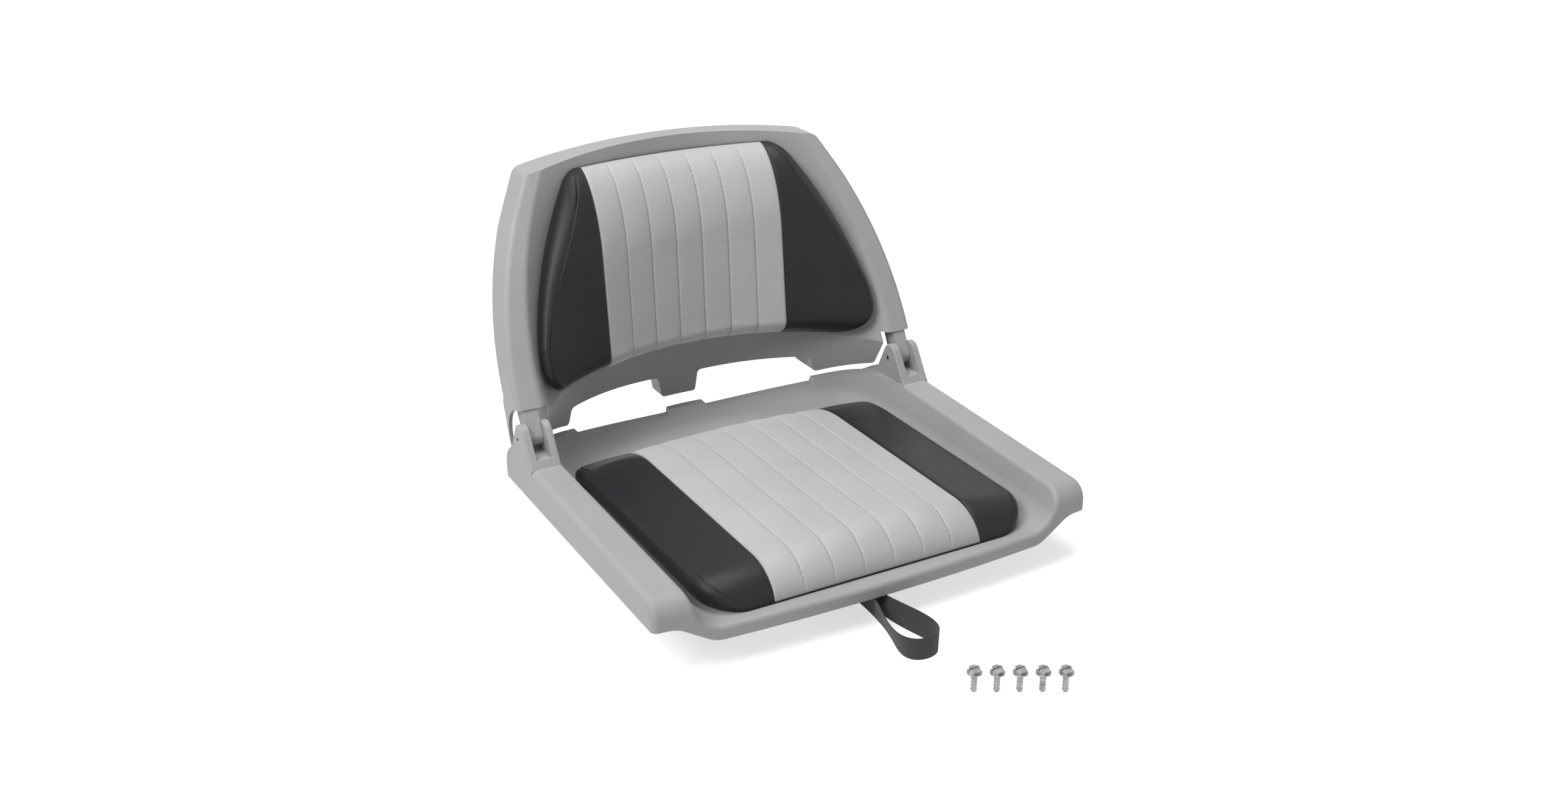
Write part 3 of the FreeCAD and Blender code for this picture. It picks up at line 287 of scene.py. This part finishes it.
def webbing():
    made = Shader("webbing_finish", grey(50), 0.8)
    split = made.node("ShaderNodeSeparateXYZ")
    uv = made.node("ShaderNodeTexCoord")
    made.link(uv.outputs["UV"], split.inputs[0])
    across = made.math("MULTIPLY", split.outputs["X"], math.pi / WEAVE_RIB)
    along = made.math("MULTIPLY", split.outputs["Y"], math.pi / WEAVE_PICK)
    rib = made.math("ABSOLUTE", made.math("SINE", across))
    pick = made.math("ABSOLUTE", made.math("SINE", made.math("ADD", along, across)))
    weave = made.math("ADD", rib, made.math("MULTIPLY", pick, 0.6))
    # Painted shade: the colour follows the weave's height, like the bump, so it is darker in the hollows
    # between ribs and picks and lighter on their crests
    made.vary_colour(made.math("MULTIPLY", weave, 0.6), grey(40), grey(66), low=0.1, high=0.9)
    made.bump(weave, distance=0.0004, strength=0.8)
    made.out.inputs["Sheen Weight"].default_value = 0.15
    return made.material


def steel():
    made = Shader("zinc_steel_finish", grey(155), 0.3, metallic=1.0)
    made.vary_colour(made.noise(scale=220.0, detail=3.0), grey(135), grey(172, 2))
    made.vary_roughness(made.noise(scale=500.0), low=0.24, high=0.42)
    made.bump(made.noise(scale=1800.0), distance=0.00005, strength=0.4)
    return made.material


def board():
    made = Shader("board_finish", grey(120, 30), 0.7)
    made.vary_colour(made.noise(scale=40.0, detail=4.0), grey(105, 30), grey(140, 30))
    made.bump(made.noise(scale=300.0, detail=3.0), distance=0.0002)
    return made.material


def foam():
    made = Shader("foam_finish", grey(215, 12), 0.9)
    made.vary_colour(made.noise(scale=25.0), grey(205, 12), grey(225, 12))
    made.bump(made.cells(scale=900.0), distance=0.0003)
    return made.material


def thread():
    made = Shader("thread_finish", grey(190), 0.7)
    made.vary_colour(made.noise(scale=400.0), grey(180), grey(200))
    made.bump(made.noise(scale=3000.0), distance=0.0001)
    return made.material


LIGHT = vinyl("light_vinyl_finish", grey(189, 1), grey(195, 1), 0.4, 0.52, specular=0.3)
CHARCOAL = vinyl("charcoal_vinyl_finish", grey(40, -2), grey(45, -2), 0.34, 0.42, specular=0.2)
WEBBING = webbing()
THREAD = thread()
FINISH = {"shell_plastic": plastic(), "light_vinyl": LIGHT, "charcoal_vinyl": CHARCOAL, "webbing": WEBBING,
          "steel": steel(), "board": board(), "foam": foam()}

for node in nodes.values():
    for slot in node.material_slots:
        slot.material = FINISH[slot.material.name.split(".")[0]]


# Meshes

def piece(name, points, faces, material, body, slot):
    """A new smooth mesh object in metres from points in millimetres, riding on a body."""
    mesh = bpy.data.meshes.new(name)
    mesh.from_pydata((np.asarray(points) * MM).tolist(), [], faces)
    mesh.materials.append(material)
    mesh.polygons.foreach_set("use_smooth", [True] * len(mesh.polygons))
    mesh.update()
    made = bpy.data.objects.new(name, mesh)
    scene.collection.objects.link(made)
    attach(made, body)
    return made


def ring_faces(rows, count):
    """Quads between neighbouring closed rings of count points each."""
    faces = []
    for row in range(rows - 1):
        here = row * count
        for k in range(count):
            n = (k + 1) % count
            faces.append((here + k, here + n, here + count + n, here + count + k))
    return faces


def closed_layer(upper, lower):
    """A sheet with a top and an underside of the same grid size, closed all round."""
    rows, count = upper.shape[:2]
    ring = np.concatenate([upper, lower[:, ::-1]], 1)
    faces = ring_faces(rows, 2 * count)
    for row in (0, rows - 1):
        start = row * 2 * count
        end = start + 2 * count - 1
        for k in range(count - 1):
            quad = (start + k, start + k + 1, end - 1 - k, end - k)
            faces.append(quad if row else quad[::-1])
    return ring.reshape(-1, 3), faces


def unit(vectors):
    return vectors / np.maximum(np.linalg.norm(vectors, axis=-1, keepdims=True), 1e-9)


def run_lengths(line):
    """Length along a line of points, up to each point."""
    return np.concatenate([[0], np.cumsum(np.linalg.norm(np.diff(line, axis=0), axis=1))])


def value_at(here, length, values):
    """Point or direction at a length along a line."""
    return np.array([np.interp(here, length, values[:, axis]) for axis in range(3)])


# Cushions

def roll(distance, reach):
    """Share of the full size at a distance from an end that rolls over in a quarter ellipse."""
    inside = np.minimum(distance, reach)
    return np.sqrt(np.maximum(1 - (1 - inside / reach) ** 2, 0))


def through(start, middle, end, t):
    """Parabola from start through middle to end."""
    return (1 - t) * (1 - 2 * t) * start + 4 * t * (1 - t) * middle + t * (2 * t - 1) * end


class Cushion:
    """One cushion's surface, as cross sections from band to band along its length."""

    def profile(self, distance, across):
        """Width and height over the base, for rows of distances and columns of places across."""
        cut = self.section(distance)
        s = across[None, :]
        side = np.where(s < ACROSS_END / 2, 1.0, -1.0)
        near = np.where(s < ACROSS_END / 2, s, ACROSS_END - s)
        t = np.clip(near, 0, 1)
        foot = cut["half"] - cut["tuck"] * cut["share"]
        band_x = through(foot, cut["flank"], cut["seam"], t)
        band_h = through(0 * foot, cut["seam_thick"] / 2, cut["seam_thick"], t)
        t = np.clip(near - 1, 0, 1)
        shoulder = cut["thick"] - cut["crown"]
        beside = (cut["seam_thick"] + shoulder) / 2 + SIDE_SWELL * cut["share"]
        panel_x = cut["seam"] + (self.edge - cut["seam"]) * t
        panel_h = through(cut["seam_thick"], beside, shoulder, t)
        x = self.edge * (1 - 2 * (s - QUILT_START) / CHANNELS)
        f = np.mod(s - QUILT_START, 1.0)
        sag = CHANNEL_SAG * cut["share"] * 4 * f * (1 - f)
        top_h = cut["thick"] - cut["crown"] * (x / self.edge) ** 2 + sag
        wide = np.where(near <= 1, band_x, panel_x) * side
        high = np.where(near <= 1, band_h, panel_h)
        return np.where(near >= QUILT_START, x, wide), np.where(near >= QUILT_START, top_h, high)

    def surface(self, distance, across):
        x, high = self.profile(distance[:, None], across)
        return self.place(x, high, distance[:, None])

    def base(self, distance, count):
        """Points across the flat underside, from the right foot to the left one, without the ends."""
        cut = self.section(distance[:, None])
        foot = cut["half"] - cut["tuck"] * cut["share"]
        share = np.linspace(-1, 1, count + 2)[1:-1][None, :]
        return self.place(foot * share, 0 * foot * share, distance[:, None])

    def rows(self, middle_step, roll_rows):
        """Distances along the cushion, closer together where its ends roll over."""
        turn = np.linspace(ROLL_START, 1.0, roll_rows) * math.pi / 2
        first = self.first_roll * (1 - np.cos(turn))
        final = self.length - self.final_roll * (1 - np.cos(turn[::-1]))
        count = int((self.length - self.first_roll - self.final_roll) / middle_step)
        middle = np.linspace(first[-1], final[0], count + 2)[1:-1]
        return np.concatenate([first, middle, final])


class SeatCushion(Cushion):
    edge = SEAT_EDGE
    length = SEAT_REAR_Y - SEAT_FRONT_Y
    first_roll = SEAT_FRONT_ROLL
    final_roll = SEAT_REAR_ROLL

    def section(self, d):
        left = self.length - d
        share = np.minimum(roll(d, SEAT_FRONT_ROLL), roll(left, SEAT_REAR_ROLL))
        half = SEAT_HALF - SEAT_FRONT_CORNER * (1 - roll(d, SEAT_FRONT_CORNER))
        half = half - SEAT_REAR_CORNER * (1 - roll(left, SEAT_REAR_CORNER))
        thick = SEAT_HEIGHT * share
        crown = SEAT_CROWN * share
        seam_thick = thick - crown - SEAT_SIDE_FALL * share
        seam = half - SEAT_SEAM_INSET * share
        return {"half": half, "flank": half, "tuck": SEAT_TUCK, "seam": seam, "thick": thick,
                "crown": crown, "seam_thick": seam_thick, "share": share}

    def place(self, x, high, d):
        y = SEAT_FRONT_Y + d + 0 * x
        return np.stack([x, y, SEAT_FLOOR_Z + PAD_GAP + high], -1)


class BackCushion(Cushion):
    edge = BACK_EDGE
    length = BACK_HIGH_Z - BACK_LOW_Z
    first_roll = BACK_LOW_ROLL
    final_roll = BACK_HIGH_ROLL

    def section(self, d):
        z = BACK_LOW_Z + d
        left = self.length - d
        above = np.maximum(z - BACK_WIDEST_Z, 0)
        share = np.minimum(roll(d, BACK_LOW_ROLL), roll(left, BACK_HIGH_ROLL))
        half = self.side(z) - self.rail(z) - BACK_INSET - BACK_TAPER * above
        half = half - BACK_LOW_CORNER * (1 - roll(d, BACK_LOW_CORNER))
        half = half - BACK_HIGH_CORNER * (1 - roll(left, BACK_HIGH_CORNER))
        inset = BACK_SEAM_INSET + BACK_SEAM_TAPER * above
        seam = np.maximum(half - inset * share, BACK_EDGE + BACK_TUCK * share)
        seam_thick = np.minimum(BACK_SEAM_THICK + BACK_SEAM_RISE * above, BACK_THICK - BACK_CROWN)
        return {"half": half, "flank": half - BACK_FLANK * share, "tuck": BACK_TUCK, "seam": seam,
                "thick": BACK_THICK * share, "crown": BACK_CROWN * share,
                "seam_thick": seam_thick * share, "share": share}

    def side(self, z):
        return SIDE_HALF - SIDE_R + np.sqrt(SIDE_R ** 2 - (z - RAIL_LOW_Z) ** 2)

    def rail(self, z):
        share = (z - RAIL_LOW_Z) / (RAIL_HIGH_Z - RAIL_LOW_Z)
        return RAIL_LOW_WIDTH + (RAIL_HIGH_WIDTH - RAIL_LOW_WIDTH) * share

    def place(self, x, high, d):
        z = BACK_LOW_Z + d + 0 * x
        face = HINGE_Y - RAIL_AHEAD / math.cos(RAIL_TILT) + (z - HINGE_Z) * math.tan(RAIL_TILT)
        middle = PANEL_Y + (z - RAIL_LOW_Z) * math.tan(PANEL_LEAN)
        crease = self.side(z) - self.rail(z)
        depth = middle - face
        bend = (crease ** 2 + depth ** 2) / (2 * depth)
        y = middle - bend + np.sqrt(bend ** 2 - x ** 2) - PAD_GAP - high
        return np.stack([x, y, z], -1)


def normals(grid):
    return unit(np.cross(np.gradient(grid, axis=0), np.gradient(grid, axis=1)))


def swell(pad):
    """Cloth under pressure, held at its seams and stitches: how far each point of a coarse grid moves."""
    parts = zip(SIM_BOUNDS, SIM_BOUNDS[1:], SIM_STEPS)
    across = [np.linspace(low, high, steps, endpoint=False) for low, high, steps in parts]
    across = np.concatenate(across + [[ACROSS_END]])
    distance = pad.rows(SIM_ROW_STEP, SIM_ROLL_ROWS)
    grid = pad.surface(distance, across)
    ring = np.concatenate([grid, pad.base(distance, SIM_UNDER)], 1)
    count = ring.shape[1]
    mesh = bpy.data.meshes.new("swell")
    mesh.from_pydata((ring.reshape(-1, 3) * MM).tolist(), [], ring_faces(len(distance), count))
    cloth = bpy.data.objects.new("swell", mesh)
    scene.collection.objects.link(cloth)
    pins = cloth.vertex_groups.new(name="held")
    share = pad.section(distance)["share"]
    sewn = np.abs(across - np.round(across)) < 0.001
    for row in range(len(distance)):
        for k in range(count):
            if k >= len(across) or sewn[k] or share[row] < SIM_HELD_SHARE:
                pins.add([row * count + k], 1.0, "REPLACE")
    settings = cloth.modifiers.new("cloth", "CLOTH").settings
    settings.quality = 6
    settings.mass = 0.3
    settings.tension_stiffness = 12
    settings.compression_stiffness = 12
    settings.shear_stiffness = 4
    settings.bending_stiffness = 0.6
    settings.use_pressure = True
    settings.uniform_pressure_force = PRESSURE
    settings.vertex_group_mass = "held"
    settings.effector_weights.gravity = 0
    for number in range(1, SIM_FRAMES + 1):
        scene.frame_set(number)
    swollen = cloth.evaluated_get(bpy.context.evaluated_depsgraph_get())
    shape = swollen.to_mesh()
    moved = np.empty(len(shape.vertices) * 3)
    shape.vertices.foreach_get("co", moved)
    swollen.to_mesh_clear()
    moved = moved.reshape(len(distance), count, 3)[:, :len(across)] / MM - grid
    size = np.linalg.norm(moved, axis=-1, keepdims=True)
    moved = moved * np.minimum(1, SIM_CAP / np.maximum(size, 1e-9)) * SIM_SHARE
    bpy.data.objects.remove(cloth)
    bpy.data.meshes.remove(mesh)
    scene.frame_set(1)
    return distance, across, moved


def spread(coarse, distance, across):
    """The coarse grid's movement, at the rows and columns of the fine one."""
    rows, places, moved = coarse
    out = np.empty((len(distance), len(across), 3))
    for axis in range(3):
        wide = np.array([np.interp(across, places, line) for line in moved[..., axis]])
        out[..., axis] = np.array([np.interp(distance, rows, line) for line in wide.T]).T
    return out


def columns():
    """Places across the fine grid, closer together at the sewn lines."""
    left = list(BAND_STEPS + PANEL_STEPS)
    middle = [QUILT_START + i + step for i in range(CHANNELS) for step in CHANNEL_STEPS]
    return np.array(left + middle + [QUILT_END] + [ACROSS_END - s for s in reversed(left)])


def column(across, s):
    return int(np.argmin(np.abs(across - s)))


def groove(pad, grid, distance, across):
    """Depth of the sewn lines under the smooth surface, with puckers along the stitched ones."""
    share = pad.section(distance[:, None])["share"]
    turn = distance[:, None] * 2 * math.pi / PUCKER_STEP
    step = np.zeros((len(distance), len(across)))
    lines = list(range(QUILT_START, QUILT_END + 1)) + [1, QUILT_END + 1]
    for number, s in enumerate(lines):
        k = column(across, s)
        reach = np.linalg.norm(grid - grid[:, k:k + 1], axis=-1)
        if QUILT_START < s < QUILT_END:
            step += GROOVE * np.exp(-(reach / GROOVE_WIDTH) ** 2)
            wave = PUCKER * np.sin(turn + number * PUCKER_PHASE) * np.sin(turn / PUCKER_BEAT + number)
            step += wave * np.exp(-((reach - PUCKER_ASIDE) / PUCKER_WIDTH) ** 2)
        else:
            step += SEAM_GROOVE * np.exp(-(reach / GROOVE_WIDTH) ** 2)
    return step * np.minimum(share * GROOVE_FADE, 1)


def capsule(start, end, up):
    """Small rounded stitch from start to end: points and faces."""
    along = unit(end - start)
    aside = unit(np.cross(along, up))
    up = np.cross(aside, along)
    points = []
    for t, wide in STITCH_PROFILE:
        middle = start + (end - start) * t + up * math.sin(math.pi * t) * STITCH_R * STITCH_ARCH
        for k in range(STITCH_SIDES):
            turn = k * 2 * math.pi / STITCH_SIDES
            points.append(middle + (aside * math.cos(turn) + up * math.sin(turn)) * STITCH_R * wide)
    faces = ring_faces(len(STITCH_PROFILE), STITCH_SIDES)
    faces.append(tuple(reversed(range(STITCH_SIDES))))
    faces.append(tuple(range(len(points) - STITCH_SIDES, len(points))))
    return points, faces


def stitches(name, grid, facing, across, body, share):
    """Threads along the six inner channel lines."""
    points = []
    faces = []
    near = slice(STITCH_END_ROWS)
    for s in range(QUILT_START + 1, QUILT_END):
        k = column(across, s)
        line = grid[:, k]
        length = run_lengths(line)
        left = (length[-1] - length)[::-1]
        place = np.interp(STITCH_FROM_SHARE, share[near], length[near])
        end = length[-1] - np.interp(STITCH_FROM_SHARE, share[::-1][near], left[near])
        while place + STITCH < end:
            up = value_at(place, length, facing[:, k])
            first = value_at(place, length, line) + up * STITCH_LIFT
            final = value_at(place + STITCH, length, line) + up * STITCH_LIFT
            more, quads = capsule(first, final, up)
            faces += [tuple(index + len(points) for index in quad) for quad in quads]
            points += more
            place += STITCH_PITCH
    return piece(name, points, faces, THREAD, body, "light_vinyl")


def dress(name, pad, body, covers):
    """One sewn cushion: charcoal body, light quilted panel and its stitches."""
    distance = pad.rows(ROW_STEP, ROLL_ROWS)
    across = columns()
    grid = pad.surface(distance, across)
    grid = grid + spread(swell(pad), distance, across)
    facing = normals(grid)
    grid = grid - facing * groove(pad, grid, distance, across)[..., None]
    share = pad.section(distance)["share"]
    middle = (across >= QUILT_START) & (across <= QUILT_END)
    top = grid[:, middle]
    drop = (facing * share[:, None, None])[:, middle]
    quilt = piece(name + "_quilt", *closed_layer(top, top - drop * QUILT), LIGHT, body, "light_vinyl")
    sunk = top - drop * (QUILT + QUILT_GAP)
    outside = np.concatenate([grid[:, across <= QUILT_START], sunk, grid[:, across >= QUILT_END]], 1)
    under = pad.base(distance, outside.shape[1] - 2)
    under = np.concatenate([outside[:, :1], under[:, ::-1], outside[:, -1:]], 1)
    sides = piece(name + "_sides", *closed_layer(outside, under), CHARCOAL, body, "charcoal_vinyl")
    stitches(name + "_stitches", grid, facing, across, body, share)
    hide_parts(covers + "_cover_centre")
    rest = ("_cover_left", "_cover_right", "_band_left", "_band_right", "_foam")
    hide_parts(*[covers + word for word in rest])


dress("seat_cushion", SeatCushion(), "seat", "seat")
dress("back_cushion", BackCushion(), "back", "back")


# Strap

def strap_line(t):
    """Points along the middle of the webbing's loop, for angles from 0 to pi."""
    wide = STRAP_ROOT + STRAP_BULGE * np.sin(t) ** 6
    y = STRAP_Y - STRAP_LENGTH * np.sin(t) ** 2
    return np.stack([STRAP_X + wide * np.cos(t), y, STRAP_Z + 0 * t], -1)


def strap():
    """Ribbed webbing with rounded edges, which leans outward where the loop opens."""
    turn = np.linspace(0, math.pi, STRAP_ROWS)
    line = strap_line(turn)
    length = run_lengths(line)
    small = 0.001
    along = unit(strap_line(np.minimum(turn + small, math.pi)) - strap_line(np.maximum(turn - small, 0)))
    lean = STRAP_LEAN * (np.sin(turn) * np.sin(2 * turn)) ** 4
    outward = np.stack([-along[:, 1], along[:, 0], 0 * turn], -1)
    width = outward * np.sin(lean)[:, None] + np.array([0, 0, 1.0]) * np.cos(lean)[:, None]
    face = np.cross(along, width)
    count = STRAP_RIB_POINTS * STRAP_RIBS + 1
    place = np.linspace(-1, 1, count)
    ribs = STRAP_RIB_HIGH * np.abs(np.sin((place + 1) / 2 * math.pi * STRAP_RIBS))
    past = np.clip((np.abs(place) - (1 - STRAP_EDGE)) / STRAP_EDGE, 0, 1)
    edge = STRAP_EDGE_THIN + (1 - STRAP_EDGE_THIN) * np.sqrt(1 - past ** 2)
    thick = STRAP_THICK / 2 * edge - STRAP_RIB_HIGH + ribs
    over = line[:, None] + width[:, None] * (place * STRAP_WIDTH / 2)[None, :, None]
    lift = face[:, None] * thick[None, :, None]
    made = piece("strap_webbing", *closed_layer(over + lift, over - lift), WEBBING, "seat", "webbing")
    layer = made.data.uv_layers.new(name="weave")
    flat = np.stack([np.concatenate([place, place[::-1]]) * STRAP_WIDTH / 2 * MM] * STRAP_ROWS)
    lengths = np.repeat(length[:, None] * MM, 2 * count, axis=1)
    uv = np.stack([flat.ravel(), lengths.ravel()], -1)
    corner = np.empty(len(made.data.loops), dtype=np.int64)
    made.data.loops.foreach_get("vertex_index", corner)
    layer.data.foreach_set("uv", uv[corner].ravel())
    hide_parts("hold_down_strap")


strap()


# Floor, light and camera

def background_seen(tree):
    """1 where the camera looks at the background, also in a reflection or through glass."""
    path = tree.nodes.new("ShaderNodeLightPath")
    seen = path.outputs["Is Camera Ray"]
    for ray in ("Is Glossy Ray", "Is Transmission Ray"):
        either = tree.nodes.new("ShaderNodeMath")
        either.operation = "MAXIMUM"
        tree.links.new(seen, either.inputs[0])
        tree.links.new(path.outputs[ray], either.inputs[1])
        seen = either.outputs[0]
    return seen


def floor():
    """A pale floor that turns white away from the object and keeps its shadow."""
    signs = ((-1, -1), (1, -1), (1, 1), (-1, 1))
    mesh = bpy.data.meshes.new("floor")
    mesh.from_pydata([(FLOOR_HALF * x, FLOOR_HALF * y, 0) for x, y in signs], [], [(0, 1, 2, 3)])
    made = bpy.data.objects.new("floor", mesh)
    made.location = (0, 0, -FLOOR_DROP)
    scene.collection.objects.link(made)
    white = Shader("floor_white", FLOOR_COLOUR, 0.9, specular=0.0)
    away = white.node("ShaderNodeVectorMath", operation="LENGTH")
    white.link(white.place, away.inputs[0])
    reach = {"From Min": FLOOR_NEAR, "From Max": FLOOR_FAR, "To Min": FLOOR_GLOW}
    fade = white.node("ShaderNodeMapRange", **reach)
    white.link(away.outputs["Value"], fade.inputs["Value"])
    glow = white.math("MULTIPLY", background_seen(white.tree), fade.outputs["Result"])
    white.out.inputs["Emission Color"].default_value = (1, 1, 1, 1)
    white.link(glow, white.out.inputs["Emission Strength"])
    mesh.materials.append(white.material)


def lamp(name, place, aim, size, power):
    light = bpy.data.lights.new(name, "AREA")
    light.shape = "RECTANGLE"
    light.size, light.size_y = size
    light.energy = power
    made = bpy.data.objects.new(name, light)
    made.location = place
    x, y, z = np.array(aim) - np.array(place)
    made.rotation_euler = (math.atan2(math.hypot(x, y), -z), 0, math.atan2(y, x) - math.pi / 2)
    scene.collection.objects.link(made)


def world():
    made = bpy.data.worlds.new("studio")
    made.use_nodes = True
    tree = made.node_tree
    sky = tree.nodes["Background"]
    sky.inputs["Color"].default_value = (1, 1, 1, 1)
    level = tree.nodes.new("ShaderNodeMapRange")
    level.inputs["To Min"].default_value = WORLD_LIGHT
    level.inputs["To Max"].default_value = 1.0
    tree.links.new(background_seen(tree), level.inputs["Value"])
    tree.links.new(level.outputs["Result"], sky.inputs["Strength"])
    scene.world = made


floor()
world()
lamp("key", place=(-1.8, -0.45, 2.0), aim=(0, 0, 0.15), size=(1.2, 1.2), power=38)
lamp("top", place=(0.1, 0.15, 2.4), aim=(0, 0, 0.1), size=(1.3, 1.3), power=27)
lamp("fill", place=(1.2, -2.2, 0.9), aim=(0, 0, 0.2), size=(1.2, 1.0), power=2)

view = bpy.data.cameras.new("camera")
view.sensor_width = CAMERA_SENSOR
view.lens = CAMERA_LENS
camera = bpy.data.objects.new("camera", view)
camera.location = CAMERA_PLACE
camera.rotation_euler = [math.radians(turn) for turn in CAMERA_TURN_DEG]
scene.collection.objects.link(camera)
scene.camera = camera
